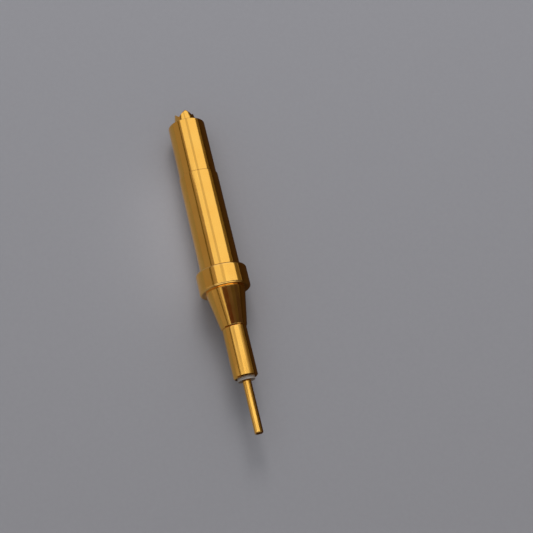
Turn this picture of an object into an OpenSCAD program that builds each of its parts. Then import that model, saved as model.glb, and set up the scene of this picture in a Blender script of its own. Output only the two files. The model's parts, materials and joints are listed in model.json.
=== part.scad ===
// Coaxial spring test probe: a four-point crown sprung inside a sprung ring contact.
// The axis lies along X with the tip towards +X. All sizes are millimetres.
// The origin is on the axis, in the plane of the collar's front face.

/* [Barrel] */
// Outside diameter of the barrel
barrel_d = 4; // [3.6:0.1:5]
// Wall of the barrel round the sleeve
barrel_wall = 0.13; // [0.08:0.01:0.2]
// Length of the barrel in front of the collar
barrel_l = 10.45; // [10:0.05:14]
// Chamfer on the barrel's front edge
barrel_edge = 0.05; // [0.01:0.01:0.07]
// Distance from the collar's front face to the seat of the sleeve spring
seat_x = 0.5; // [0:0.1:1]

/* [Collar] */
// Diameter of the collar
collar_d = 5.1; // [4.6:0.1:7]
// Thickness of the collar
collar_t = 2.2; // [1.2:0.1:3]
// Radius on both edges of the collar
collar_round = 0.2; // [0.05:0.05:0.4]

/* [Cone] */
// Length of the cone behind the collar
cone_l = 3.8; // [3.2:0.1:6]
// Diameter of the cone where it leaves the collar
cone_d = 4; // [3.4:0.05:4.4]
// Step from the cone's end down to the tail tube
cone_step = 0.09; // [0.05:0.01:0.25]

/* [Outer sleeve] */
// Length of the sleeve outside the barrel
sleeve_out = 5.95; // [5.5:0.05:8]
// Length of the sleeve inside the barrel
sleeve_guide = 4.65; // [3.5:0.05:4.8]
// Wall of the sleeve
sleeve_wall = 0.3; // [0.2:0.02:0.4]
// Chamfer on the ring contact's outer edge
sleeve_edge = 0.06; // [0.02:0.01:0.12]
// Thickness of the inward lip at the sleeve's rear
lip_t = 0.6; // [0.3:0.1:1]
// Travel of the sleeve into the barrel
sleeve_travel = 3; // [2:0.1:3.2]

/* [Centre plunger] */
// Narrowing of the crown's head towards its points, on the radius
crown_taper = 0.14; // [0.05:0.01:0.25]
// Length of the taper that leads to the points
crown_taper_l = 0.8; // [0.4:0.1:1.2]
// Height of the points above the ring contact
crown_out = 1.5; // [0.8:0.1:1.7]
// Included angle of the two crossed grooves
groove_angle = 90; // [70:5:110]
// Turn of the points about the axis
crown_turn = 15; // [0:5:90]
// Diameter of the shaft behind the head
shaft_d = 1.1; // [0.9:0.02:1.2]
// Length of the piston at the plunger's rear
piston_l = 2; // [1:0.1:2.5]

/* [Inner barrel] */
// Outside diameter of the inner barrel
inner_d = 1.7; // [1.6:0.02:1.8]
// Wall of the inner barrel
inner_wall = 0.15; // [0.1:0.01:0.17]
// Length of the rolled-in mouth that keeps the piston
roll_l = 0.4; // [0.2:0.1:0.8]
// Length of the inner barrel in front of the core's flange
inner_out = 0.4; // [0.1:0.1:0.8]

/* [Insulators] */
// Wall of the core insulator
core_wall = 0.33; // [0.25:0.01:0.35]
// Thickness of the core's front flange
flange_t = 0.8; // [0.4:0.1:1.2]
// Length of the core behind the inner barrel
core_tail = 0.4; // [0.2:0.1:0.8]
// Wall of the front bush round the crown
bush_wall = 0.4; // [0.3:0.02:0.6]
// Depth of the front bush below the ring contact
bush_recess = 0.5; // [0.1:0.1:1]
// Length of the tail insulator outside the tail tube
insulator_out = 0.3; // [0.05:0.05:0.6]

/* [Tail] */
// Outside diameter of the tail tube
tail_d = 2.4; // [2.3:0.05:2.7]
// Bore of the tail tube
tail_bore_d = 1.75; // [1.6:0.05:1.85]
// Diameter of the spigot that holds the tail tube in the cone
spigot_d = 2.06; // [2:0.02:2.2]
// Length of the tail tube outside the cone
tail_out = 5.05; // [4:0.05:8]
// Length of the spigot
spigot_l = 2.8; // [2:0.1:3]
// Chamfer on the tail tube's rear edge
tail_edge = 0.06; // [0.02:0.01:0.12]
// Diameter of the terminal pin
pin_d = 0.85; // [0.6:0.05:1]
// Diameter of the pin's shank in the tail insulator
shank_d = 1.2; // [0.9:0.02:1.3]
// Depth of the shank's end below the tail insulator's end
shank_recess = 0.1; // [0.05:0.01:0.15]
// Length of the terminal pin behind the tail tube
pin_out = 5.5; // [4:0.1:9]
// Length of the pin's head in the inner barrel
pin_head_l = 1.2; // [0.8:0.1:1.3]
// Chamfer on the pin's end
pin_edge = 0.15; // [0.02:0.01:0.2]

/* [Springs] */
// Wire diameter of the sleeve spring
sleeve_wire_d = 0.3; // [0.2:0.01:0.32]
// Turns of the sleeve spring
sleeve_turns = 6; // [4:1:6]
// Wire diameter of the centre spring
centre_wire_d = 0.18; // [0.12:0.01:0.2]
// Turns of the centre spring
centre_turns = 12; // [8:1:14]
// Turns that lie closed at each end of a spring
closed_turns = 1; // [0.5:0.5:1.5]

/* [Fits] */
// Radial clearance of the sleeve in the barrel
sleeve_clear = 0.025; // [0.015:0.005:0.05]
// Radial clearance of the core's flange in the sleeve, and of the core in the lip
core_clear = 0.05; // [0.03:0.01:0.08]
// Radial clearance of the crown in the front bush
bush_clear = 0.04; // [0.02:0.01:0.08]
// Radial clearance of the piston and the shaft in the inner barrel
piston_clear = 0.025; // [0.015:0.005:0.05]
// Radial clearance of the centre spring in the inner barrel
spring_clear = 0.05; // [0.03:0.01:0.1]
// Radial gap between pieces that are fixed in each other
fit_clear = 0.02; // [0.015:0.005:0.03]
// Gap between a stop and what rests on it
stop_gap = 0.03; // [0.02:0.01:0.1]
// Room left in front of the inner barrel at full travel
end_gap = 0.3; // [0.1:0.1:0.5]

/* [Hidden] */
$fn = 96;

// Diameters, each from the piece that it fits
barrel_bore_d = barrel_d - 2 * barrel_wall;
sleeve_d = barrel_bore_d - 2 * sleeve_clear;
sleeve_bore_d = sleeve_d - 2 * sleeve_wall;
inner_bore_d = inner_d - 2 * inner_wall;
core_bore_d = inner_d + 2 * fit_clear;
core_d = core_bore_d + 2 * core_wall;
lip_bore_d = core_d + 2 * core_clear;
flange_d = sleeve_bore_d - 2 * core_clear;
bush_d = sleeve_bore_d - 2 * fit_clear;
bush_bore_d = bush_d - 2 * bush_wall;
crown_d = bush_bore_d - 2 * bush_clear;
crown_tip_d = crown_d - 2 * crown_taper;
piston_d = inner_bore_d - 2 * piston_clear;
roll_bore_d = shaft_d + 2 * piston_clear;
cone_end_d = tail_d + 2 * cone_step;
insulator_d = tail_bore_d - 2 * fit_clear;
nose_d = inner_d - inner_wall;
shank_bore_d = shank_d + 2 * fit_clear;
pin_head_d = inner_bore_d - 2 * fit_clear;
sleeve_coil_d = (barrel_bore_d + core_d) / 2;
centre_coil_d = inner_bore_d - 2 * spring_clear - centre_wire_d;

// Places along the axis, from the collar forwards
ring_x = barrel_l + sleeve_out;
tip_x = ring_x + crown_out;
bush_x = ring_x - bush_recess;
sleeve_end_x = barrel_l - sleeve_guide;
lip_x = sleeve_end_x + lip_t;
flange_end_x = lip_x + stop_gap;
flange_x = flange_end_x + flange_t;
inner_x = flange_x + inner_out;
roll_x = inner_x - roll_l;
piston_x = roll_x - stop_gap;
piston_end_x = piston_x - piston_l;

// The crown's shoulder and the bush stop short of the inner barrel at full travel
plunger_travel = sleeve_travel + crown_out;
bush_end_x = inner_x + end_gap + sleeve_travel;
shoulder_x = inner_x + end_gap + plunger_travel;

// Places along the axis, from the collar backwards
cone_x = -collar_t;
cone_end_x = cone_x - cone_l;
spigot_x = cone_end_x + spigot_l;
tail_end_x = cone_end_x - tail_out;
insulator_end_x = tail_end_x - insulator_out;
shank_end_x = insulator_end_x + shank_recess;
pin_end_x = tail_end_x - pin_out;
inner_end_x = spigot_x + core_tail;
nose_x = inner_end_x - stop_gap;
pin_head_x = inner_end_x + pin_head_l;

// Depth of a groove at the axis, so that its flanks meet in points of the stated width
crown_depth = crown_tip_d / 2 * cos(45) / tan(groove_angle / 2);

// Room by which a cut runs past the solid that it cuts
over = 1;

// Steps in one turn of a spring, sides of its wire, and the spacing of its closed end turns
coil_steps = 20;
coil_sides = 8;
closed_pitch = 1.2;

gold = "#D8A544";
bright_gold = "#E4B658";
white = "#F0EEE6";
steel = "#C4C6C8";

// Solid of revolution about the axis, through an outline of [x, diameter] from the rear to the front
module turned(outline) {
    rear = outline[0][0];
    front = outline[len(outline) - 1][0];
    rotate([0, 90, 0])
        rotate_extrude()
            polygon(concat([[0, rear]], [for (p = outline) [p[1] / 2, p[0]]], [[0, front]]));
}

// Square corner with a round of radius r taken out, in the plane
module corner(r) {
    difference() {
        square(r);
        circle(r);
    }
}

// Disc on the axis with a round on both edges
module rounded_disc(x0, x1, d, r) {
    translate([x0, 0, 0])
        rotate([0, 90, 0])
            rotate_extrude()
                difference() {
                    square([d / 2, x1 - x0]);
                    translate([d / 2 - r, x1 - x0 - r]) corner(r);
                    translate([d / 2 - r, r]) mirror([0, 1]) corner(r);
                }
}

// Height of a coil after a number of turns: its end turns lie closed
function coil_height(turn, turns, closed, pitch) =
    closed * (min(turn, closed_turns) + max(turn - turns + closed_turns, 0))
    + pitch * min(max(turn - closed_turns, 0), turns - 2 * closed_turns);

// Compression spring between two planes, swept along its helix
module coil(x0, x1, mean_d, wire_d, turns) {
    closed = wire_d * closed_pitch;
    pitch = (x1 - x0 - wire_d - 2 * closed * closed_turns) / (turns - 2 * closed_turns);
    rings = turns * coil_steps;
    points = [
        for (i = [0:rings], j = [0:coil_sides - 1])
            let (
                turn = i / coil_steps,
                side = 360 * j / coil_sides,
                r = mean_d / 2 + wire_d / 2 * cos(side)
            )
            [
                x0 + wire_d / 2 * (1 + sin(side)) + coil_height(turn, turns, closed, pitch),
                r * cos(360 * turn),
                r * sin(360 * turn)
            ]
    ];
    sides = [
        for (i = [0:rings - 1], j = [0:coil_sides - 1])
            let (a = i * coil_sides, b = a + coil_sides, k = (j + 1) % coil_sides)
            [a + j, a + k, b + k, b + j]
    ];
    start = [for (j = [coil_sides - 1:-1:0]) j];
    end = [for (j = [0:coil_sides - 1]) rings * coil_sides + j];
    polyhedron(points, concat([start], sides, [end]), convexity = 10);
}

// One V groove across the crown, through the axis
module groove() {
    half_w = (crown_depth + over) * tan(groove_angle / 2);
    rotate([90, 0, 0])
        linear_extrude(crown_d + 2 * over, center = true)
            polygon([
                [tip_x - crown_depth, 0],
                [tip_x + over, half_w],
                [tip_x + over, -half_w]
            ]);
}

// Turned barrel: tube in front, collar, and the cone that holds the tail tube
module barrel() {
    core_hole_d = core_d + 2 * fit_clear;
    spigot_hole_d = spigot_d + 2 * fit_clear;
    color(gold)
        difference() {
            union() {
                turned([
                    [-collar_t / 2, barrel_d],
                    [barrel_l - barrel_edge, barrel_d],
                    [barrel_l, barrel_d - 2 * barrel_edge]
                ]);
                rounded_disc(cone_x, 0, collar_d, collar_round);
                turned([[cone_end_x, cone_end_d], [cone_x + collar_round, cone_d]]);
            }
            turned([
                [cone_end_x - over, spigot_hole_d],
                [spigot_x, spigot_hole_d],
                [spigot_x, core_hole_d],
                [seat_x, core_hole_d],
                [seat_x, barrel_bore_d],
                [barrel_l + over, barrel_bore_d]
            ]);
        }
}

// Ring contact: a thin tube with an inward lip that stops against the core's flange
module outer_sleeve() {
    color(bright_gold)
        difference() {
            turned([
                [sleeve_end_x, sleeve_d],
                [ring_x - sleeve_edge, sleeve_d],
                [ring_x, sleeve_d - 2 * sleeve_edge]
            ]);
            turned([
                [sleeve_end_x - over, lip_bore_d],
                [lip_x, lip_bore_d],
                [lip_x, sleeve_bore_d],
                [ring_x + over, sleeve_bore_d]
            ]);
        }
}

// Insulating guide in the ring contact's mouth
module front_bush() {
    color(white)
        difference() {
            turned([[bush_end_x, bush_d], [bush_x, bush_d]]);
            turned([[bush_end_x - over, bush_bore_d], [bush_x + over, bush_bore_d]]);
        }
}

// Spring between its seat in the barrel and the sleeve
module sleeve_spring() {
    color(steel)
        coil(seat_x + stop_gap, sleeve_end_x - stop_gap, sleeve_coil_d, sleeve_wire_d, sleeve_turns);
}

// Insulating tube that carries the centre contact in the barrel
module core_insulator() {
    color(white)
        difference() {
            turned([
                [spigot_x, core_d],
                [flange_end_x, core_d],
                [flange_end_x, flange_d],
                [flange_x, flange_d]
            ]);
            turned([[spigot_x - over, core_bore_d], [flange_x + over, core_bore_d]]);
        }
}

// Tube of the centre contact, with its mouth rolled in over the piston
module inner_barrel() {
    roll_edge = inner_wall / 2;
    color(gold)
        difference() {
            turned([
                [inner_end_x, inner_d],
                [inner_x - roll_edge, inner_d],
                [inner_x, inner_d - 2 * roll_edge]
            ]);
            turned([
                [inner_end_x - over, inner_bore_d],
                [roll_x, inner_bore_d],
                [roll_x, roll_bore_d],
                [inner_x + over, roll_bore_d]
            ]);
        }
}

// Spring between the terminal pin's head and the piston
module centre_spring() {
    color(steel)
        coil(pin_head_x + stop_gap, piston_end_x - stop_gap, centre_coil_d, centre_wire_d, centre_turns);
}

// Piston, shaft and tapered head in one, with the head cut to four points
module centre_plunger() {
    color(bright_gold)
        difference() {
            turned([
                [piston_end_x, piston_d],
                [piston_x, piston_d],
                [piston_x, shaft_d],
                [shoulder_x, shaft_d],
                [shoulder_x, crown_d],
                [tip_x - crown_taper_l, crown_d],
                [tip_x, crown_tip_d]
            ]);
            for (turn = [45, 135]) rotate([crown_turn + turn, 0, 0]) groove();
        }
}

// Outer terminal: its shoulder seats on the cone's end and its spigot is held in the cone
module tail_tube() {
    color(gold)
        difference() {
            turned([
                [tail_end_x, tail_d - 2 * tail_edge],
                [tail_end_x + tail_edge, tail_d],
                [cone_end_x, tail_d],
                [cone_end_x, spigot_d],
                [spigot_x, spigot_d]
            ]);
            turned([[tail_end_x - over, tail_bore_d], [spigot_x + over, tail_bore_d]]);
        }
}

// Bush that holds the terminal pin in the tail tube, with a nose that the pin's head rests on
module tail_insulator() {
    color(white)
        difference() {
            turned([
                [insulator_end_x, insulator_d],
                [spigot_x, insulator_d],
                [spigot_x, nose_d],
                [nose_x, nose_d]
            ]);
            turned([[insulator_end_x - over, shank_bore_d], [nose_x + over, shank_bore_d]]);
        }
}

// Centre terminal: a head that closes the inner barrel, a shank in the insulator and the bare pin
module terminal_pin() {
    color(gold)
        turned([
            [pin_end_x, pin_d - 2 * pin_edge],
            [pin_end_x + pin_edge, pin_d],
            [shank_end_x, pin_d],
            [shank_end_x, shank_d],
            [inner_end_x, shank_d],
            [inner_end_x, pin_head_d],
            [pin_head_x, pin_head_d]
        ]);
}

barrel();
outer_sleeve();
front_bush();
sleeve_spring();
core_insulator();
inner_barrel();
centre_spring();
centre_plunger();
tail_tube();
tail_insulator();
terminal_pin();
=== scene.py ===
# %% [markdown]
# # A coaxial spring probe in gold
#
# The object is a slim test probe that touches a circuit in two places at once: a ring contact outside and a
# four-point crown inside it, each on its own spring. It is turned from brass and plated with gold. The
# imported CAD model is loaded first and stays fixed, and every piece below is worked out in the same frame:
# the axis lies along X with the crown towards +X, and the origin is in the plane of the collar's front
# face.

# %% Load the frame
import json
import math

import bpy
import numpy as np
from mathutils import Matrix, Vector


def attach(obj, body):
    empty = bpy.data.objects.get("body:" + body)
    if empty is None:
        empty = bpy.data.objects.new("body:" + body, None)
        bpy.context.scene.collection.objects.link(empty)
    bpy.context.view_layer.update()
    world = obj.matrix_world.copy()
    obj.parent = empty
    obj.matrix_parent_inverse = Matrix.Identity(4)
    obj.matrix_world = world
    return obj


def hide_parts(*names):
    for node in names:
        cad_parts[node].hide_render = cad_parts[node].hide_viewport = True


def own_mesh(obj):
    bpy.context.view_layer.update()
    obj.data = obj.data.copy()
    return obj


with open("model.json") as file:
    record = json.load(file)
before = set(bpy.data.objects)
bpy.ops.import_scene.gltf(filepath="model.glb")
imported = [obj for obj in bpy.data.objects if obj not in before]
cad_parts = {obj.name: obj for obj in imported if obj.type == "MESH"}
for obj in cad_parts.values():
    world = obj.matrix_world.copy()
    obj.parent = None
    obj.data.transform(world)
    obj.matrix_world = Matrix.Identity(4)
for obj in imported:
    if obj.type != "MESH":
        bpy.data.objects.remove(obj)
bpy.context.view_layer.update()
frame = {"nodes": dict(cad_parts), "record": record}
MM = 0.001

# %% [markdown]
# The frame knows where each solid begins and ends, and the record gives the radius of each mount. A dressed
# piece takes its ends and, mostly, its outer radius from there, so that it fits without trial and error.
# Bores follow from what they hold: a fixed piece has a small gap all round, which stands in for its press
# fit.


# %% Measure the solids
def extent(node):
    """First x, last x and outer radius of a solid in mm: the radius is its farthest point from the axis."""
    points = np.empty(3 * len(node.data.vertices), np.float32)
    node.data.vertices.foreach_get("co", points)
    x, y, z = points.reshape(-1, 3).T.astype(float) / MM
    return tuple(round(float(v), 3) for v in (x.min(), x.max(), np.hypot(y, z).max()))


EXTENT = {name: extent(node) for name, node in frame["nodes"].items()}
MOUNT_R = {mount["name"]: mount["dims"].get("r_mm") for mount in frame["record"]["mounts"]}
FIT_MM = 0.02
for name, measured in EXTENT.items():
    print(name, "from x, to x and radius in mm:", *measured)
print("mount radii in mm:", MOUNT_R)

# %% [markdown]
# ## Camera
#
# A camera could be aimed by eye, but here its place was worked out from the probe's own edges, so that the
# collar, the seams and the pin's end fall where a photographer standing behind the pin would see them. The
# lens is given by its focal length in pixels, which Blender wants in millimetres of a 36 mm sensor.

# %% Place the camera
FRAME_PX, FOCAL_PX, SENSOR_MM = 533, 971.9, 36.0
CAMERA_AT_MM = Vector((-31.572, 2.923, 90.949))
TOWARDS_CAMERA = Vector((-0.32163, 0.07728, 0.94371))
NEAREST_MM, FARTHEST_MM = 1, 10000
camera = bpy.data.objects.new("camera", bpy.data.cameras.new("camera"))
camera.data.sensor_width = SENSOR_MM
camera.data.lens = FOCAL_PX * SENSOR_MM / FRAME_PX
camera.data.clip_start, camera.data.clip_end = NEAREST_MM * MM, FARTHEST_MM * MM
camera.location = CAMERA_AT_MM * MM
camera.rotation_mode = "QUATERNION"
camera.rotation_quaternion = (-TOWARDS_CAMERA).to_track_quat("-Z", "Y")
bpy.context.scene.collection.objects.link(camera)
bpy.context.scene.camera = camera
print("lens in mm:", round(camera.data.lens, 2))

# %% [markdown]
# ## From an outline to a turned piece
#
# Almost every piece was made on a lathe, so its shape is one outline of x and radius carried round the
# axis. A Spin operator or a Screw modifier could do that too. Here the whole grid of points comes from two
# numpy arrays, because then each corner's edge break and its worn gold can be known exactly. A real cutter
# never leaves a perfectly sharp corner. The first helper rounds each one with a small arc, and puts a
# support point on either side of it, so that long plain walls stay flat when they are shaded smooth.

# %% Round an outline's corners
ARC_STEPS = 5
MOST_OF_A_SIDE = 0.4
SUPPORT_OF_ARC, SUPPORT_OF_ROOM = 0.3, 0.1
NEARLY_ONE = 1 - 1e-9


def eased(corners, closed=True):
    """Outline (n, 2) in mm with round corners, and a number per point that is 1 on an outward edge.

    A corner is its x, its radius from the axis and the radius of its rounding. It is left where a circle of
    that rounding touches the side before it, follows the circle by equal angles, and joins the side after it.
    No arc takes more than a set share of a side. An open outline keeps its two end points.
    """
    corners = np.asarray(corners, float)
    place, rounding = corners[:, :2], corners[:, 2]
    before, after = np.roll(place, 1, axis=0) - place, np.roll(place, -1, axis=0) - place
    length_before, length_after = np.linalg.norm(before, axis=1), np.linalg.norm(after, axis=1)
    back, on = before / length_before[:, None], after / length_after[:, None]
    half = 0.5 * np.arccos(np.clip((back * on).sum(1), -NEARLY_ONE, NEARLY_ONE))
    room = MOST_OF_A_SIDE * np.minimum(length_before, length_after)
    reach = np.minimum(rounding / np.tan(half), room)
    inward = (back + on) / np.linalg.norm(back + on, axis=1)[:, None]
    centre = place + inward * (reach / np.cos(half))[:, None]
    turn = np.sign(-back[:, 0] * on[:, 1] + back[:, 1] * on[:, 0])
    angle = (turn * (math.pi - 2 * half))[:, None] * np.linspace(0, 1, ARC_STEPS + 1)
    spoke = place + back * reach[:, None] - centre
    arc = centre[:, None] + np.stack([
        spoke[:, :1] * np.cos(angle) - spoke[:, 1:] * np.sin(angle),
        spoke[:, :1] * np.sin(angle) + spoke[:, 1:] * np.cos(angle),
    ], axis=-1)
    support = (reach + np.minimum(SUPPORT_OF_ARC * reach, SUPPORT_OF_ROOM * room))[:, None]
    first, last = place + back * support, place + on * support
    rows = np.concatenate([first[:, None], arc, last[:, None]], axis=1)
    worn = np.zeros(rows.shape[:2])
    worn[turn < 0, 1:-1] = 1
    if closed:
        return rows.reshape(-1, 2), worn.ravel()
    inner = slice(1, len(place) - 1)
    outline = np.concatenate([place[:1], rows[inner].reshape(-1, 2), place[-1:]])
    return outline, np.concatenate([[0], worn[inner].ravel(), [0]])


sample, _ = eased([(0, 1, 0.1), (0, 2, 0.1), (3, 2, 0.1), (3, 1, 0.1)])
print("a four-cornered outline has", len(sample), "points")

# %% [markdown]
# The second helper turns a grid of points into a closed mesh. Columns run round the axis and always meet
# again. Rows either meet again too, as on a tube, or end in a single point on the axis, as on a rod. The
# sign of the enclosed volume says whether the faces look outwards, and if not, the grid is turned over. The
# third helper makes such a grid from an outline, by carrying it round the axis.

# %% Turn a grid of points into a piece
AROUND = 192
SHARP_DEG = 28


def grid_piece(name, points, worn, rows_meet):
    """Mesh object from points (rows, columns, 3) in metres: each face joins four neighbours of the grid.

    The volume is a sixth of the sum of each triangle's corner product, and faces are reversed where it is
    negative. Where a row shrinks to a point, two corners of a face are the same, and it becomes a triangle.
    """
    count, columns = points.shape[:2]
    index = np.arange(count * columns).reshape(count, columns)
    if not rows_meet:
        index[0], index[-1] = index[0, 0], index[-1, 0]
    here, there = (index, np.roll(index, -1, axis=0)) if rows_meet else (index[:-1], index[1:])
    neighbours = [here, np.roll(here, -1, axis=1), np.roll(there, -1, axis=1), there]
    quads = np.stack(neighbours, axis=-1).reshape(-1, 4)
    flat = points.reshape(-1, 3)
    a, b, c, d = (flat[quads[:, k]] for k in range(4))
    volume = ((a * np.cross(b, c)).sum() + (a * np.cross(c, d)).sum()) / 6
    if volume < 0:
        quads = quads[:, ::-1]
    used, packed = np.unique(quads, return_inverse=True)
    faces = packed.reshape(-1, 4)
    repeats = faces == np.roll(faces, -1, axis=1)
    pointed = repeats.any(1)
    triangles = faces[pointed][~repeats[pointed]].reshape(-1, 3)
    mesh = bpy.data.meshes.new(name)
    mesh.from_pydata(flat[used].tolist(), [], faces[~pointed].tolist() + triangles.tolist())
    wear = worn.ravel()[used].astype(np.float32)
    mesh.attributes.new("worn", "FLOAT", "POINT").data.foreach_set("value", wear)
    mesh.shade_smooth()
    mesh.set_sharp_from_angle(angle=math.radians(SHARP_DEG))
    piece = bpy.data.objects.new(name, mesh)
    bpy.context.scene.collection.objects.link(piece)
    print(f"{name}: {len(mesh.vertices)} points, {len(faces)} faces, {abs(volume) / MM**3:.2f} cubic mm")
    return piece


# %% Carry an outline round the axis
def carried_round(outline, angles):
    """Grid in metres: the point (x, r) goes to (x, r cos a, r sin a) for every angle a."""
    x, r = outline[:, :1] * MM, outline[:, 1:] * MM
    return np.stack([x + 0 * angles, r * np.cos(angles), r * np.sin(angles)], axis=-1)


def turned(name, corners, hollow=True):
    """Turned piece: the eased outline carried round the axis, a tube if hollow and otherwise a rod."""
    outline, worn = eased(corners, closed=hollow)
    angles = np.linspace(0, 2 * math.pi, AROUND, endpoint=False)
    return grid_piece(name, carried_round(outline, angles), np.repeat(worn[:, None], AROUND, 1), hollow)


# %% [markdown]
# ## Finishes
#
# Three finishes cover the whole probe. Each is a small net of nodes, and one function adds a node of any
# kind with its settings and links. Colours are written as the hex values a designer would pick and are
# turned to linear light, which is what a shader works in. All patterns read Object coordinates or a place
# on the piece itself, so they stay on it from every side.

# %% Helpers for colours and nodes
def linear(hex_colour):
    """sRGB hex to linear RGBA: c / 12.92 up to 0.04045, above it ((c + 0.055) / 1.055) to the power 2.4."""
    c = np.array([int(hex_colour[k:k + 2], 16) for k in (1, 3, 5)]) / 255
    lit = np.where(c <= 0.04045, c / 12.92, ((c + 0.055) / 1.055) ** 2.4)
    return (*lit.tolist(), 1.0)


def add(tree, kind, inputs=None, **settings):
    """Adds a node: settings are its properties, inputs are values to set or other nodes' outputs to link."""
    made = tree.nodes.new("ShaderNode" + kind)
    for key, value in settings.items():
        setattr(made, key, value)
    for key, value in (inputs or {}).items():
        if isinstance(value, bpy.types.NodeSocket):
            tree.links.new(value, made.inputs[key])
        else:
            made.inputs[key].default_value = value
    return made


def finish_named(name):
    """New node material, with its tree and its Principled shader."""
    material = bpy.data.materials.new(name)
    material.use_nodes = True
    return material, material.node_tree, material.node_tree.nodes["Principled BSDF"]


print("mid grey in linear light:", [round(v, 3) for v in linear("#808080")[:3]])

# %% [markdown]
# A cutter on a lathe moves a little with each turn and leaves a fine ring. Rings are a noise that changes
# along the axis only. The middle of a noise, from 0.3 to 0.7, is what shows most, so roughness is spread
# over that.

# %% Helpers for patterns
NOISE_LOW, NOISE_HIGH = 0.3, 0.7


def lathe_rings(tree, place, spacing_mm, detail):
    """Noise of x alone, with one swell for each spacing."""
    along = add(tree, "SeparateXYZ", {"Vector": place}).outputs["X"]
    counted = add(tree, "Math", {0: along, 1: 1 / (spacing_mm * MM)}, operation="MULTIPLY").outputs[0]
    inputs = {"W": counted, "Scale": 1.0, "Detail": detail}
    return add(tree, "TexNoise", inputs, noise_dimensions="1D").outputs[0]


def surface(tree, shader, skin, pattern, smoothest, roughest, height, depth_mm):
    """Links a colour, a roughness between two values by a pattern, and a bump of a depth by a height."""
    spread = {"From Min": NOISE_LOW, "From Max": NOISE_HIGH, "To Min": smoothest, "To Max": roughest}
    rough = add(tree, "MapRange", {"Value": pattern, **spread}).outputs[0]
    bump = add(tree, "Bump", {"Height": height, "Strength": 1.0, "Distance": depth_mm * MM}).outputs[0]
    for socket, output in (("Base Color", skin), ("Roughness", rough), ("Normal", bump)):
        tree.links.new(output, shader.inputs[socket])


# %% [markdown]
# **Gold plating over turned brass.** The plating copies the brass under it, so the eye gets a mirror with
# the finest of lathe rings in it, which blur a reflection along the axis but not across it. The gold is a
# little deeper in some places than in others, and it is polished bright and pale on the edges that rub in a
# fixture. Real feed marks are about 0.03 mm apart. That is finer than a pixel here, so the rings are drawn
# at 0.12 mm.

# %% Gold plating
RING_MM, CLOUD_MM, POLISH_MM, RING_DEPTH_MM = 0.12, 2.2, 0.7, 0.0003
gold, tree, shader = finish_named("gold_plated_brass")
place = add(tree, "TexCoord").outputs["Object"]
rings = lathe_rings(tree, place, RING_MM, detail=2.0)
cloud = add(tree, "TexNoise", {"Vector": place, "Scale": 1 / (CLOUD_MM * MM), "Detail": 3.0}).outputs[0]
polish = add(tree, "TexNoise", {"Vector": place, "Scale": 1 / (POLISH_MM * MM), "Detail": 4.0}).outputs[0]
worn = add(tree, "Attribute", attribute_name="worn").outputs["Fac"]
rubbed = add(tree, "Math", {0: worn, 1: polish}, operation="MULTIPLY").outputs[0]
deep_to_light = {"Color1": linear("#F6B54C"), "Color2": linear("#FBC45E")}
hue = add(tree, "MixRGB", {"Fac": cloud, **deep_to_light}).outputs[0]
skin = add(tree, "MixRGB", {"Fac": rubbed, "Color1": hue, "Color2": linear("#FCCB74")}).outputs[0]
shader.inputs["Metallic"].default_value = 1.0
surface(tree, shader, skin, polish, smoothest=0.09, roughest=0.14, height=rings, depth_mm=RING_DEPTH_MM)
print("gold rings every", RING_MM, "mm")

# %% [markdown]
# **White fluoropolymer.** The insulators are turned from a waxy white rod. Light sinks in a little before
# it comes out again, so the edges look soft, and the cutter leaves fine rings on an otherwise matt skin.

# %% White fluoropolymer
BUSH_RING_MM, MOTTLE_MM, BUSH_DEPTH_MM, SINK_MM = 0.1, 0.5, 0.002, 0.15
white, tree, shader = finish_named("white_fluoropolymer")
place = add(tree, "TexCoord").outputs["Object"]
rings = lathe_rings(tree, place, BUSH_RING_MM, detail=1.0)
mottle = add(tree, "TexNoise", {"Vector": place, "Scale": 1 / (MOTTLE_MM * MM), "Detail": 3.0}).outputs[0]
# Painted shade: the insulators' white is greyed down to warm greys, the tone it shows lying in shade, and the
# mottle runs between two such greys.
shaded_white_greys = {"Color1": linear("#A59C92"), "Color2": linear("#B2A99F")}
skin = add(tree, "MixRGB", {"Fac": mottle, **shaded_white_greys}).outputs[0]
shader.inputs["Subsurface Weight"].default_value = 0.2
shader.inputs["Subsurface Radius"].default_value = (1.0, 0.9, 0.8)
shader.inputs["Subsurface Scale"].default_value = SINK_MM * MM
surface(tree, shader, skin, mottle, smoothest=0.42, roughest=0.58, height=rings, depth_mm=BUSH_DEPTH_MM)
print("bush rings every", BUSH_RING_MM, "mm")

# %% [markdown]
# **Drawn spring steel.** Spring wire is pulled through a die, which leaves long streaks along the wire. The
# pattern has to follow the wire round its helix, so it reads an attribute in which each point of the mesh
# remembers where it was, in millimetres, while the wire was still straight. A noise that is stretched along
# that wire has no seam.

# %% Drawn spring steel
STREAK_MM, STREAK_DEPTH_MM = 0.04, 0.0015
steel, tree, shader = finish_named("drawn_spring_steel")
wire_place = add(tree, "Attribute", attribute_name="straight_wire").outputs["Vector"]
stretch = (1.0, 1 / STREAK_MM, 1 / STREAK_MM)
pulled = add(tree, "Mapping", {"Vector": wire_place, "Scale": stretch}).outputs[0]
streaks = add(tree, "TexNoise", {"Vector": pulled, "Scale": 1.0, "Detail": 3.0}).outputs[0]
dark_to_light = {"Color1": linear("#A9ABAE"), "Color2": linear("#CDCFD2")}
skin = add(tree, "MixRGB", {"Fac": streaks, **dark_to_light}).outputs[0]
shader.inputs["Metallic"].default_value = 1.0
surface(tree, shader, skin, streaks, smoothest=0.24, roughest=0.4, height=streaks, depth_mm=STREAK_DEPTH_MM)
print("finishes:", gold.name, white.name, steel.name)
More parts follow.
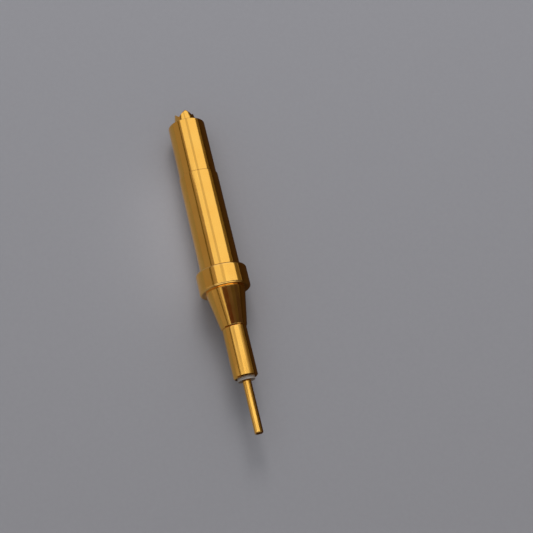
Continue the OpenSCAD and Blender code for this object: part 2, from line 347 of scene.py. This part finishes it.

# %% [markdown]
# ## Pieces in their places
#
# Each piece below stands for one solid of the frame. It rides on that solid's body, so that it moves as the
# solid does, and the solid itself is hidden and stays for collisions.


# %% Put a piece in a CAD node's place
def stands_for(piece, node, body, finish):
    """The piece rides on the body, shows in place of the node, and takes its finish."""
    piece.data.materials.append(finish)
    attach(piece, body)
    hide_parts(node)
    print(piece.name, "stands for", node, "and rides on", body)


# %% [markdown]
# ## Barrel
#
# The barrel is one turned piece: a thin tube in front, a collar that stops it in a fixture plate, and a
# cone that narrows to the tail. One outline gives all of it: up the rear face, forward along the outside,
# over the mouth and back along the stepped bore. The collar has a generous round, and the other edges only
# a cutter's break. Each corner is written as x, radius and rounding, all in millimetres. The roundings have
# names, from the crispest edge that a cutter leaves to one that feels smooth.

# %% Set out the barrel
CRISP, FINE, BROKEN, EASED, SOFT, SMOOTH = 0.01, 0.02, 0.03, 0.04, 0.05, 0.06
COLLAR_MM, COLLAR_ROUND, MOUTH_BREAK_MM, SPRING_SEAT_X = 2.2, 0.2, 0.07, 0.5
CONE_FRONT_R, CONE_REAR_R, RIM_R, RIM_MM = 1.9645, 1.308, 1.215, 0.1
CORE_R, SPIGOT_R, SLEEVE_PLAY_MM = 1.2, 1.03, 0.07
cone_end_x, mouth_x, collar_r = EXTENT["barrel"]
tail_end_x, tail_front_x, tail_r = EXTENT["tail_tube"]
sleeve_rear_x, ring_x, sleeve_r = EXTENT["outer_sleeve"]
barrel_r, sleeve_bore_r = MOUNT_R["barrel"], sleeve_r + SLEEVE_PLAY_MM
core_bore_r, tail_bore_r = CORE_R + FIT_MM, SPIGOT_R + FIT_MM
print("bores of the barrel in mm:", *(round(2 * r, 3) for r in (sleeve_bore_r, core_bore_r, tail_bore_r)))

# %% Turn the barrel
barrel = turned("gold_barrel", [
    (cone_end_x, tail_bore_r, FINE),
    (cone_end_x, RIM_R, FINE),
    (cone_end_x + RIM_MM, CONE_REAR_R, BROKEN),
    (-COLLAR_MM, CONE_FRONT_R, SOFT),
    (-COLLAR_MM, collar_r, COLLAR_ROUND),
    (0, collar_r, COLLAR_ROUND),
    (0, barrel_r, EASED),
    (mouth_x - MOUTH_BREAK_MM, barrel_r, EASED),
    (mouth_x, barrel_r - MOUTH_BREAK_MM, CRISP),
    (mouth_x, sleeve_bore_r, CRISP),
    (SPRING_SEAT_X, sleeve_bore_r, EASED),
    (SPRING_SEAT_X, core_bore_r, EASED),
    (tail_front_x, core_bore_r, FINE),
    (tail_front_x, tail_bore_r, FINE),
])
stands_for(barrel, "barrel", "housing", gold)

# %% [markdown]
# ## Ring contact and its bush
#
# The ring contact is a sleeve that slides in the barrel's mouth, with a lip at its rear end that keeps it
# from leaving. A white bush inside it guides the crown and keeps the two circuits apart. Both ride on the
# body "ring". The sleeve is drawn a hair wider than its solid, so that the step at the barrel's mouth is as
# fine as it looks.

# %% Turn the ring contact
RING_STEP_MM, RING_ROUND, LIP_MM, LIP_PLAY_MM = 0.1, 0.06, 0.6, 0.05
guide_rear_x, guide_front_x, guide_r = EXTENT["front_bush"]
ring_r, ring_bore_r, lip_bore_r = barrel_r - RING_STEP_MM, guide_r + FIT_MM, CORE_R + LIP_PLAY_MM
sleeve = turned("ring_contact", [
    (sleeve_rear_x, lip_bore_r, BROKEN),
    (sleeve_rear_x, ring_r, SOFT),
    (ring_x, ring_r, RING_ROUND),
    (ring_x, ring_bore_r, BROKEN),
    (sleeve_rear_x + LIP_MM, ring_bore_r, BROKEN),
    (sleeve_rear_x + LIP_MM, lip_bore_r, BROKEN),
])
stands_for(sleeve, "outer_sleeve", "ring", gold)

# %% Turn the crown's guide bush
GUIDE_PLAY_MM = 0.04
piston_x, tip_x, head_r = EXTENT["centre_plunger"]
guide_bore_r = head_r + GUIDE_PLAY_MM
bush = turned("crown_guide_bush", [
    (guide_rear_x, guide_bore_r, SOFT),
    (guide_rear_x, guide_r, SOFT),
    (guide_front_x, guide_r, SOFT),
    (guide_front_x, guide_bore_r, SOFT),
])
stands_for(bush, "front_bush", "ring", white)

# %% [markdown]
# ## Crown plunger
#
# The plunger is a rod with a piston at the rear and a tapered head, and two crossed V grooves cut that head
# to four points. Two boolean cuts could make them, but booleans leave ragged triangles. The grooves have a
# formula: at an angle a and a distance q from the axis, the flank stands q times the smaller of |sin| and
# |cos| of the angle from a groove above its floor. So the head's top is one more set of rows on the same
# grid, and its rim is where that height meets the taper. The points stand half way between two grooves. A
# cutter has a small nose, so ridges and floors are softened a little between neighbours.

# %% Lay out the crown
PISTON_R, PISTON_MM, ROD_R, HEAD_X = 0.675, 2.0, 0.55, 12.43
POINT_R, TAPER_MM, EDGE_MM = 0.945, 0.8, 0.02
GROOVE_TURN, POINT_FROM_GROOVE = math.radians(60), math.radians(45)


def softened(middle, neighbour, other_neighbour):
    """Half of a value and a quarter of each of its two neighbours."""
    return 0.5 * middle + 0.25 * (neighbour + other_neighbour)


shoulder_x = tip_x - TAPER_MM
lean = (head_r - POINT_R) / TAPER_MM
around = np.linspace(0, 2 * math.pi, AROUND, endpoint=False)
slope = np.minimum(abs(np.sin(around)), abs(np.cos(around)))
slope = softened(slope, np.roll(slope, 1), np.roll(slope, -1))
angles = around + GROOVE_TURN
floor_x = tip_x - POINT_R * math.cos(POINT_FROM_GROOVE)
rim_r = (POINT_R + (tip_x - floor_x) * lean) / (1 + slope * lean)
rim_x = floor_x + rim_r * slope
print("groove floor at x", round(floor_x, 3), "and points at x", round(rim_x.max(), 3), "mm")

# %% Shape the crown plunger
SIDE_ROWS, TOP_ROWS, FIRST_ROW_UP = 8, 16, 0.15


def crown_grid():
    """Rows of the head: up the taper to just below the rim, over the rim, and down the flanks to the axis.

    On the taper the radius falls with x by its lean. On the flanks x is the groove's floor plus radius times
    slope. The row over the rim lies half way between the sharp rim and its two neighbours.
    """
    up = np.linspace(FIRST_ROW_UP, 1, SIDE_ROWS)[:, None]
    side_x = shoulder_x + (rim_x - EDGE_MM - shoulder_x) * up
    side_r = head_r - (side_x - shoulder_x) * lean
    top_r = (rim_r - EDGE_MM) * np.linspace(1, 0, TOP_ROWS)[:, None]
    top_x = floor_x + top_r * slope
    over_x = softened(rim_x, side_x[-1], top_x[0])
    over_r = softened(rim_r, side_r[-1], top_r[0])
    x = np.concatenate([side_x, over_x[None], top_x])
    r = np.concatenate([side_r, over_r[None], top_r])
    return np.stack([x, r * np.cos(angles), r * np.sin(angles)], axis=-1) * MM


rod, rod_worn = eased([
    (piston_x, 0, 0),
    (piston_x, PISTON_R, SMOOTH),
    (piston_x + PISTON_MM, PISTON_R, SMOOTH),
    (piston_x + PISTON_MM, ROD_R, BROKEN),
    (HEAD_X, ROD_R, BROKEN),
    (HEAD_X, head_r, SMOOTH),
    (shoulder_x, head_r, 0),
], closed=False)
head = crown_grid()
head_worn = np.zeros(head.shape[:2])
head_worn[SIDE_ROWS - 1:SIDE_ROWS + 2] = 1
plunger = grid_piece(
    "crown_plunger",
    np.concatenate([carried_round(rod, angles), head]),
    np.concatenate([np.repeat(rod_worn[:, None], AROUND, 1), head_worn]),
    rows_meet=False,
)
stands_for(plunger, "centre_plunger", "plunger", gold)

# %% [markdown]
# ## Core: insulating tube and inner barrel
#
# Inside the barrel a white tube carries the centre contact. Its flange stops the ring contact's lip. In the
# tube sits the inner barrel, whose mouth is rolled in over the plunger's piston. They are out of sight
# until the ring contact is pressed in or the probe is taken apart, and they are turned like the rest.

# %% Turn the insulating tube
FLANGE_MM = 0.8
core_rear_x, core_front_x, flange_r = EXTENT["core_insulator"]
inner_rear_x, inner_front_x, inner_r = EXTENT["inner_barrel"]
core_hole_r = inner_r + FIT_MM
core = turned("core_tube", [
    (core_rear_x, core_hole_r, BROKEN),
    (core_rear_x, CORE_R, BROKEN),
    (core_front_x - FLANGE_MM, CORE_R, BROKEN),
    (core_front_x - FLANGE_MM, flange_r, SOFT),
    (core_front_x, flange_r, SOFT),
    (core_front_x, core_hole_r, BROKEN),
])
stands_for(core, "core_insulator", "housing", white)

# %% Turn the inner barrel
PISTON_PLAY_MM, ROLLED_MM, ROLL_ROUND = 0.025, 0.4, 0.12
inner_bore_r, rolled_r = PISTON_R + PISTON_PLAY_MM, ROD_R + PISTON_PLAY_MM
inner = turned("inner_barrel_tube", [
    (inner_rear_x, inner_bore_r, FINE),
    (inner_rear_x, inner_r, BROKEN),
    (inner_front_x, inner_r, ROLL_ROUND),
    (inner_front_x, rolled_r, SOFT),
    (inner_front_x - ROLLED_MM, rolled_r, BROKEN),
    (inner_front_x - ROLLED_MM, inner_bore_r, BROKEN),
])
stands_for(inner, "inner_barrel", "housing", gold)

# %% [markdown]
# ## Springs
#
# A coil spring is a circle carried along a helix. The closed turns at each end rise by little more than a
# wire's width, and the open turns between share the rest. A curve with a bevel would do, but a grid knows
# the place of each point on the straight wire, which the drawn streaks need.

# %% Wind a spring
STEPS_A_TURN, ROUND_WIRE, CLOSED_RISE = 40, 20, 1.2


def wound(name, node, wire_d, turns):
    """Spring in a solid's place: a circle of the wire's radius about the helix (rise, R cos t, R sin t).

    The circle lies in the plane of the outward direction and the direction square to it and to the wire. Each
    end closes to a point. The attribute straight_wire holds the run along the wire and the place across it.
    """
    x0, x1, outer_r = EXTENT[node]
    mean_r, wire_r, height = outer_r - wire_d / 2, wire_d / 2, x1 - x0 - wire_d
    t = np.linspace(0, turns, turns * STEPS_A_TURN + 1)
    closed = CLOSED_RISE * wire_d
    rise = np.interp(t, [0, 1, turns - 1, turns], [0, closed, height - closed, height])
    spin = 2 * math.pi * t
    out = np.stack([0 * spin, np.cos(spin), np.sin(spin)], axis=-1)
    centre = mean_r * out
    centre[:, 0] = x0 + wire_r + rise
    ahead = np.gradient(centre, axis=0)
    ahead /= np.linalg.norm(ahead, axis=1)[:, None]
    aside = np.cross(ahead, out)
    ring = np.linspace(0, 2 * math.pi, ROUND_WIRE, endpoint=False)[None, :, None]
    skin = centre[:, None] + wire_r * (np.cos(ring) * out[:, None] + np.sin(ring) * aside[:, None])
    ends = np.repeat(centre[[0, -1], None], ROUND_WIRE, axis=1)
    grid = np.concatenate([ends[:1], skin, ends[1:]]) * MM
    piece = grid_piece(name, grid, np.zeros(grid.shape[:2]), rows_meet=False)
    run = spin[:, None, None] * mean_r + 0 * ring
    section = [wire_r * np.cos(ring) + 0 * run, wire_r * np.sin(ring) + 0 * run]
    straight = np.concatenate([run, *section], axis=-1)
    tips = np.array([[0, 0, 0], [spin[-1] * mean_r, 0, 0]])
    straight = np.concatenate([tips[:1], straight.reshape(-1, 3), tips[1:]]).astype(np.float32)
    memory = piece.data.attributes.new("straight_wire", "FLOAT_VECTOR", "POINT")
    memory.data.foreach_set("vector", straight.ravel())
    return piece


# %% [markdown]
# Each spring stands on the housing and gets a mesh of its own.


def pressed_by(spring):
    """Gives the spring its own copy of its mesh."""
    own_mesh(spring)


ring_spring = wound("ring_spring", "sleeve_spring", wire_d=0.3, turns=6)
stands_for(ring_spring, "sleeve_spring", "housing", steel)
pressed_by(ring_spring)
crown_spring = wound("crown_spring", "centre_spring", wire_d=0.18, turns=12)
stands_for(crown_spring, "centre_spring", "housing", steel)
pressed_by(crown_spring)

# %% [markdown]
# ## Tail: outer tube, insulator and terminal pin
#
# The tail tube is pressed into the cone and carries the ring's circuit. A white bush in it holds the centre
# terminal, a pin with a blunt round at its end. The bush stands a little out of the tube and shows as a
# thin pale ring. Its end is a shallow funnel, and the pin's thicker shank ends at the bottom of it, so the
# pin seems to come out of a dark eye.

# %% Turn the tail tube
TAIL_FLARE_MM, TAIL_CHAMFER_MM, TAIL_SEAM_ROUND = 0.05, 0.12, 0.07
bush_end_x, bush_front_x, bush_r = EXTENT["tail_insulator"]
tail_hole_r = bush_r + FIT_MM
tail = turned("tail_tube_terminal", [
    (tail_end_x + TAIL_FLARE_MM, tail_hole_r, FINE),
    (tail_end_x, tail_hole_r + TAIL_FLARE_MM, FINE),
    (tail_end_x, tail_r - TAIL_CHAMFER_MM, FINE),
    (tail_end_x + TAIL_CHAMFER_MM, tail_r, BROKEN),
    (cone_end_x, tail_r, TAIL_SEAM_ROUND),
    (cone_end_x, SPIGOT_R, FINE),
    (tail_front_x, SPIGOT_R, BROKEN),
    (tail_front_x, tail_hole_r, FINE),
])
stands_for(tail, "tail_tube", "housing", gold)

# %% Turn the tail bush
FUNNEL_R, BUSH_NECK_R, SHANK_R = 0.77, 0.775, 0.6
shank_hole_r = SHANK_R + FIT_MM
tail_bush = turned("tail_bush", [
    (bush_end_x, FUNNEL_R, BROKEN),
    (bush_end_x, bush_r, EASED),
    (tail_front_x, bush_r, FINE),
    (tail_front_x, BUSH_NECK_R, FINE),
    (bush_front_x, BUSH_NECK_R, BROKEN),
    (bush_front_x, shank_hole_r, BROKEN),
    (tail_end_x, shank_hole_r, FINE),
])
stands_for(tail_bush, "tail_insulator", "housing", white)

# %% Turn the terminal pin
PIN_ROUND, PIN_HEAD_MM = 0.16, 1.2
pin_end_x, pin_front_x, pin_head_r = EXTENT["terminal_pin"]
pin_r = MOUNT_R["terminal_pin"]
pin_head_x = pin_front_x - PIN_HEAD_MM
pin = turned("centre_terminal_pin", [
    (pin_end_x, 0, 0),
    (pin_end_x, pin_r, PIN_ROUND),
    (tail_end_x, pin_r, FINE),
    (tail_end_x, SHANK_R, BROKEN),
    (pin_head_x, SHANK_R, FINE),
    (pin_head_x, pin_head_r, BROKEN),
    (pin_front_x, pin_head_r, BROKEN),
    (pin_front_x, 0, 0),
], hollow=False)
stands_for(pin, "terminal_pin", "housing", gold)

# %% [markdown]
# ## Floor
#
# The probe lies on a plain sheet of card. It can't lie level: the collar is wider than the ring contact, so
# the probe leans until the ring's front edge touches too. The probe stays where the frame has it, and the
# card is tilted instead, along the line that touches both rounds from below.

# %% Lay the card
CARD_MM = 1500
collar_edge = (-COLLAR_ROUND, collar_r - COLLAR_ROUND)
ring_edge = (ring_x - RING_ROUND, ring_r - RING_ROUND)
gap_x, gap_r = ring_edge[0] - collar_edge[0], collar_edge[1] - ring_edge[1]
tilt = math.asin((COLLAR_ROUND - RING_ROUND) / math.hypot(gap_x, gap_r)) + math.atan2(gap_r, gap_x)
drop = (collar_edge[1] * math.cos(tilt) + collar_edge[0] * math.sin(tilt) + COLLAR_ROUND) / math.cos(tilt)


def sheet_mesh(name, rows):
    """Mesh of a sheet through rows of points in mm, each row joined to the next."""
    rows = np.asarray(rows, float)
    index = np.arange(rows.shape[0] * rows.shape[1]).reshape(rows.shape[:2])
    corners = [index[:-1, :-1], index[1:, :-1], index[1:, 1:], index[:-1, 1:]]
    faces = np.stack(corners, axis=-1).reshape(-1, 4)
    mesh = bpy.data.meshes.new(name)
    mesh.from_pydata((rows.reshape(-1, 3) * MM).tolist(), [], faces.tolist())
    return mesh


edge = (-CARD_MM, CARD_MM)
card_mesh = sheet_mesh("card", [[(x, y, x * math.tan(tilt) - drop) for y in edge] for x in edge])
card = bpy.data.objects.new("card", card_mesh)
bpy.context.scene.collection.objects.link(card)
print("card tilted by", round(math.degrees(tilt), 2), "degrees, top", round(drop, 3), "mm below the origin")

# %% [markdown]
# **Grey card.** Pressed fibre scatters light evenly and has no gloss, so it is matt with a faint mottle. A
# real sweep of card curves up behind the object, so that no edge shows. Here the card turns step by step
# into an even grey at some distance from the probe, and the room behind it has the same grey. Near the
# probe it is plain card, which takes the shadow.

# %% Grey card that fades to the horizon
FIBRE_MM, FADE_FROM_MM, FADE_TO_MM = 0.4, 35, 130
HORIZON = linear("#8A888B")


def seen_directly(tree):
    """1 for rays from the camera, off a mirror or through glass, and 0 for rays off a matt surface."""
    path = add(tree, "LightPath").outputs
    looked = {0: path["Is Camera Ray"], 1: path["Is Glossy Ray"]}
    either = add(tree, "Math", looked, operation="MAXIMUM").outputs[0]
    return add(tree, "Math", {0: either, 1: path["Is Transmission Ray"]}, operation="MAXIMUM").outputs[0]


card_stock, tree, shader = finish_named("grey_card")
place = add(tree, "TexCoord").outputs["Object"]
fibre = add(tree, "TexNoise", {"Vector": place, "Scale": 1 / (FIBRE_MM * MM), "Detail": 2.0}).outputs[0]
dull_to_pale = {"Color1": linear("#989699"), "Color2": linear("#9C9A9D")}
skin = add(tree, "MixRGB", {"Fac": fibre, **dull_to_pale}).outputs[0]
tree.links.new(skin, shader.inputs["Base Color"])
shader.inputs["Roughness"].default_value = 0.9
shader.inputs["Specular IOR Level"].default_value = 0.0
distance = add(tree, "VectorMath", {0: place}, operation="LENGTH").outputs["Value"]
stretch = {"Value": distance, "From Min": FADE_FROM_MM * MM, "From Max": FADE_TO_MM * MM}
far = add(tree, "MapRange", stretch, interpolation_type="SMOOTHSTEP").outputs[0]
fade = add(tree, "Math", {0: far, 1: seen_directly(tree)}, operation="MULTIPLY").outputs[0]
sweep = add(tree, "Emission", {"Color": HORIZON}).outputs[0]
faded = add(tree, "MixShader", {0: fade, 1: shader.outputs[0], 2: sweep}).outputs[0]
tree.links.new(faded, tree.nodes["Material Output"].inputs["Surface"])
card_mesh.materials.append(card_stock)
print("card fades from", FADE_FROM_MM, "to", FADE_TO_MM, "mm")

# %% [markdown]
# ## Light
#
# A polished cylinder shows its surroundings as bands along its length, so the light is planned as bands of
# angle about the axis: 0 degrees is straight up and plus is to the camera's right. Where a band lies along
# X decides which part of the probe shows it: the barrel looks far ahead of the tip, the tail looks nearly
# overhead, and the cone looks back.

# %% Helpers for bands and lamps
ALONG = Vector((1, 0, 0))


def facing(away, middle_mm):
    """Place of a flat sheet: its length lies along X, it looks against away, and its middle is at a point."""
    place = Matrix((ALONG, away.cross(ALONG), away)).transposed().to_4x4()
    place.translation = middle_mm * MM
    return place


def band(from_deg, to_deg, from_x, to_x, distance):
    """Flat sheet that fills a band of angles about the axis and a stretch of X, at a distance in mm.

    Its width is twice the distance times the tangent of half the band. Returns its place, length and width.
    """
    middle, half = math.radians((from_deg + to_deg) / 2), math.radians((to_deg - from_deg) / 2)
    away = Vector((0, -math.sin(middle), math.cos(middle)))
    place = facing(away, ALONG * (from_x + to_x) / 2 + away * distance)
    return place, (to_x - from_x) * MM, 2 * distance * math.tan(half) * MM


def area_lamp(name, brightness, place, length, width, unseen_by):
    """Area lamp. Its power grows with its area, so that brightness is what a mirror would show of it."""
    lamp = bpy.data.lights.new(name, "AREA")
    lamp.shape = "RECTANGLE"
    lamp.size, lamp.size_y = length, width
    lamp.energy = brightness * math.pi * length * width
    hung = bpy.data.objects.new(name, lamp)
    hung.matrix_world = place
    for ray in unseen_by:
        setattr(hung, "visible_" + ray, False)
    bpy.context.scene.collection.objects.link(hung)
    print(f"{name}: {length / MM:.0f} x {width / MM:.0f} mm, {lamp.energy:.4f} W")
    return lamp


# %% [markdown]
# Soft panels overhead give the broad highlight, with a dimmer strip in it that splits it in two. Each has a
# brightness, a band from one angle to another, and a stretch from one x to another in millimetres. Seen
# from in front of the tip, the probe mirrors what hangs behind it, so three more panels there give it bands
# from that side as well. They are for reflections only: the card takes no light from them and keeps one
# shadow.

# %% Hang the soft panels
PANEL_MM = 160
DAYLIGHT = linear("#EAF3FF")
OVERHEAD = {
    "barrel_left": (0.80, -26, 0, 47, 84),
    "ring_left": (0.80, -33, 0, 84, 240),
    "ahead_split": (0.48, 0, 13, 47, 240),
    "ahead_right": (0.86, 13, 66, 47, 240),
    "tail_left": (0.55, -36, -22, 24.5, 47),
    "tail_split": (0.36, -22, -1, 24.5, 47),
    "tail_right": (0.88, -1, 41, 24.5, 47),
    "tail_fade": (0.36, 41, 54, 24.5, 47),
    "pin_left": (0.4, -80, -50, 5, 24.5),
    "pin_right": (1.1, -50, 34, 5, 24.5),
    "cone_strip": (0.42, -31, -19, -25, 5),
}
BEHIND = {
    "behind_left": (0.80, -40, -4, -700, -60),
    "behind_split": (0.48, -4, 10, -700, -60),
    "behind_right": (0.86, 10, 60, -700, -60),
}
for panels, unseen_by in ((OVERHEAD, ["camera"]), (BEHIND, ["camera", "diffuse"])):
    for name, (brightness, *angles_and_places) in panels.items():
        panel = area_lamp(name, brightness, *band(*angles_and_places, PANEL_MM), unseen_by)
        panel.color = DAYLIGHT[:3]

# %% [markdown]
# The panels alone would leave the card dim. A soft box ahead of the tip and a little to the right lights it
# from half way up, so that the shadow falls back and to the left, and the faces that look back lie in
# shade. Matt surfaces see it, and reflections don't, because on a mirror it would wash out the bands. A
# polished barrel also throws part of its light back on the card beside it, as a faint glow along its left
# side. A renderer finds such paths only by chance and shows them as grain, so a weak strip that only the
# card sees stands in for them.

# %% Hang the soft box and the glow
SOFT_BOX_MM, BOX_AWAY_MM, BOX_BRIGHTNESS = 600, 1350, 7.2
TOWARDS_BOX = Vector((0.68, -0.18, 0.71))
GLOW_FROM_X, GLOW_TO_X, GLOW_WIDTH_MM, GLOW_BRIGHTNESS = -2, 12, 2, 1.0
GLOW_Y, GLOW_Z = 3.2, 2.2
FROM_CARD = Vector((0, -0.55, 0.83))
box_place = (-TOWARDS_BOX).to_track_quat("-Z", "Y").to_matrix().to_4x4()
box_place.translation = TOWARDS_BOX * BOX_AWAY_MM * MM
glow_place = facing(FROM_CARD, Vector(((GLOW_FROM_X + GLOW_TO_X) / 2, GLOW_Y, GLOW_Z)))
glow_size = (GLOW_TO_X - GLOW_FROM_X) * MM, GLOW_WIDTH_MM * MM
MATT_ONLY = ["camera", "glossy"]
area_lamp("soft_box", BOX_BRIGHTNESS, box_place, SOFT_BOX_MM * MM, SOFT_BOX_MM * MM, MATT_ONLY)
area_lamp("barrel_glow", GLOW_BRIGHTNESS, glow_place, *glow_size, MATT_ONLY)

# %% [markdown]
# Gold looks like gold only when it has something dark to show as well. Dark flags do that in a studio. Here
# they are painted reflections: seen by reflections alone, they throw no shadow and take no light from the
# card, and their colours are what the gold is to mirror. A sheet under the probe and up its right side is
# painted
# shade and painted reflection: under the probe it stands for the dark shade there as the gold mirrors it, up
# the side it gives the right flank a dark reflection, and it darkens the end faces. A screen behind the pin,
# and a paler one beside it, darken the rounds that face back. Sheets overhead darken the cone, in steps that
# fade to the right, and dimmer ones let the highlights of pin, tail and barrel fade there too. A thin strip
# to the left draws a crisp edge along them. A flag overhead has a colour, a band from one angle to another,
# and a stretch from one x to another. The sheet under the probe is a section of y and z, and each screen goes
# from one y to another.

# %% Helpers for flags
BELOW_PANELS_MM = 10


def painted_reflection_flag(name, hex_colour, rows):
    """Sheet of painted reflection through rows of points in mm: a matt colour seen by glossy rays alone."""
    reflection_paint, _, shader = finish_named(name + "_reflection_paint")
    shader.inputs["Base Color"].default_value = linear(hex_colour)
    shader.inputs["Roughness"].default_value = 1.0
    shader.inputs["Specular IOR Level"].default_value = 0.0
    mesh = sheet_mesh(name, rows)
    mesh.materials.append(reflection_paint)
    flag = bpy.data.objects.new(name, mesh)
    bpy.context.scene.collection.objects.link(flag)
    for ray in ("camera", "diffuse", "shadow", "transmission", "volume_scatter"):
        setattr(flag, "visible_" + ray, False)
    print(name, "has", len(mesh.polygons), "faces")


def flag_on_band(name, hex_colour, *angles_and_places):
    """Flag that fills a band just under the panels."""
    place, length, width = band(*angles_and_places, PANEL_MM - BELOW_PANELS_MM)
    corners = [[(-1, -1), (-1, 1)], [(1, -1), (1, 1)]]
    rows = [[place @ Vector((a * length / 2, b * width / 2, 0)) / MM for a, b in row] for row in corners]
    painted_reflection_flag(name, hex_colour, rows)


# %% Set the flags of painted reflection
# Painted shade under the probe and a painted dark reflection up its right side, seen by the gold alone.
SHADE_SHEET_SECTION = [(1.2, -2.5), (-8, -2.4), (-12, -2.2), (-15, -1.4), (-17, -0.2), (-18.4, 1.9)]
SHADE_SHEET_FROM_X, SHADE_SHEET_TO_X = -45, 70
SCREEN_X, SCREEN_LOW_Z, SCREEN_HIGH_Z = -20, -3.6, 8.2
SCREENS = {"screen": ("#3A2E20", -7, 4.5), "side_screen": ("#6B563F", 4.5, 15)}
FLAGS = {
    "cone_left": ("#976559", -19, 12, -40, 6),
    "cone_right": ("#A38C8C", 12, 32, -40, 6),
    "cone_flank": ("#8E8175", 32, 56, -40, 6),
    "cone_edge": ("#715F64", 56, 98, -60, 6),
    "pin": ("#A79B7C", 42, 95, 6, 24),
    "tail": ("#A79B7C", 66, 86, 24, 47),
    "ahead": ("#A79B7C", 67, 86, 47, 240),
    "edge": ("#968A5C", -50, -43, -25, 240),
}
shade_sheet_rows = [[(x, y, z + x * math.tan(tilt)) for y, z in SHADE_SHEET_SECTION] for x in (SHADE_SHEET_FROM_X, SHADE_SHEET_TO_X)]
painted_reflection_flag("painted_shade_sheet", "#423426", shade_sheet_rows)
for name, (hex_colour, *sides) in SCREENS.items():
    painted_reflection_flag(name, hex_colour, [[(SCREEN_X, y, z) for y in sides] for z in (SCREEN_LOW_Z, SCREEN_HIGH_Z)])
for name, values in FLAGS.items():
    flag_on_band(name, *values)

# %% [markdown]
# The room itself is one even grey. Surfaces that scatter light get it from all round at a plain level. The
# camera sees the grey that the card fades to, and the gold sees a slightly warmer one, so nothing brighter
# shows in a reflection.

# %% Fill the room
ROOM_LIGHT = 0.3
world = bpy.data.worlds.new("grey_room")
world.use_nodes = True
tree = world.node_tree
tree.nodes.clear()
mirrored = add(tree, "LightPath").outputs["Is Glossy Ray"]
grey = add(tree, "MixRGB", {"Fac": mirrored, "Color1": HORIZON, "Color2": linear("#978F8D")}).outputs[0]
light = add(tree, "Background", {"Color": linear("#FFFFFF"), "Strength": ROOM_LIGHT}).outputs[0]
backdrop = add(tree, "Background", {"Color": grey}).outputs[0]
mixed = add(tree, "MixShader", {0: seen_directly(tree), 1: light, 2: backdrop}).outputs[0]
add(tree, "OutputWorld", {"Surface": mixed})
bpy.context.scene.world = world
bpy.context.scene.view_settings.view_transform = "Standard"
print("room light:", ROOM_LIGHT)
